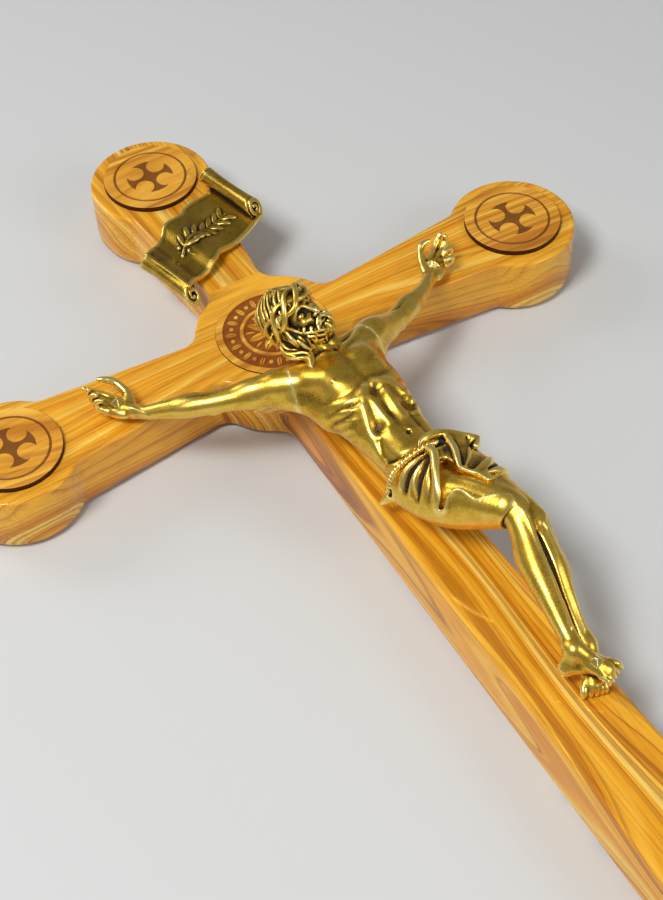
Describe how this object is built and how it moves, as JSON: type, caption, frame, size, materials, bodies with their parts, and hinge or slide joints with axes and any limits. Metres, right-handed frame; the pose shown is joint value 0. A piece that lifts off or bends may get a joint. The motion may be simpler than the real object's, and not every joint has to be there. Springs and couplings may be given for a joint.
{
  "type": "wall crucifix",
  "caption": "Lobed olive-wood wall cross with inlaid discs, a cast metal corpus, thorn wreath, title scroll and keyhole hanger.",
  "frame": {"origin": "centre of the crossing on the flat back face, which lies against the wall", "axes": "+Z out of the front, +Y towards the top of the cross, +X to the viewer's right; at rest it lies on its back"},
  "size_m": [0.2968, 0.5018, 0.0814],
  "materials": {
    "olive_wood": "clear gloss lacquer over figured olive wood",
    "olive_disc": "satin, laser engraved brown with a burnt edge",
    "engraved_medallion": "laser engraved dark ground with light raised lines",
    "gilt_casting": "antique gold over a dark patina, highlights rubbed bright",
    "zinc_steel": "bright zinc plated"
  },
  "bodies": {
    "root": {"upright": "olive_wood", "crossbeam": "olive_wood", "disc_top": "olive_disc", "disc_left": "olive_disc", "disc_right": "olive_disc", "disc_foot": "olive_disc", "medallion": "engraved_medallion", "scroll": "gilt_casting", "scroll_screws": "zinc_steel", "scroll_washers": "zinc_steel", "corpus_body": "gilt_casting", "arm_right": "gilt_casting", "arm_left": "gilt_casting", "thorn_wreath": "gilt_casting", "hand_nails": "gilt_casting", "foot_nail": "gilt_casting", "hanger_plate": "zinc_steel", "hanger_screws": "zinc_steel"}
  },
  "joints": []
}
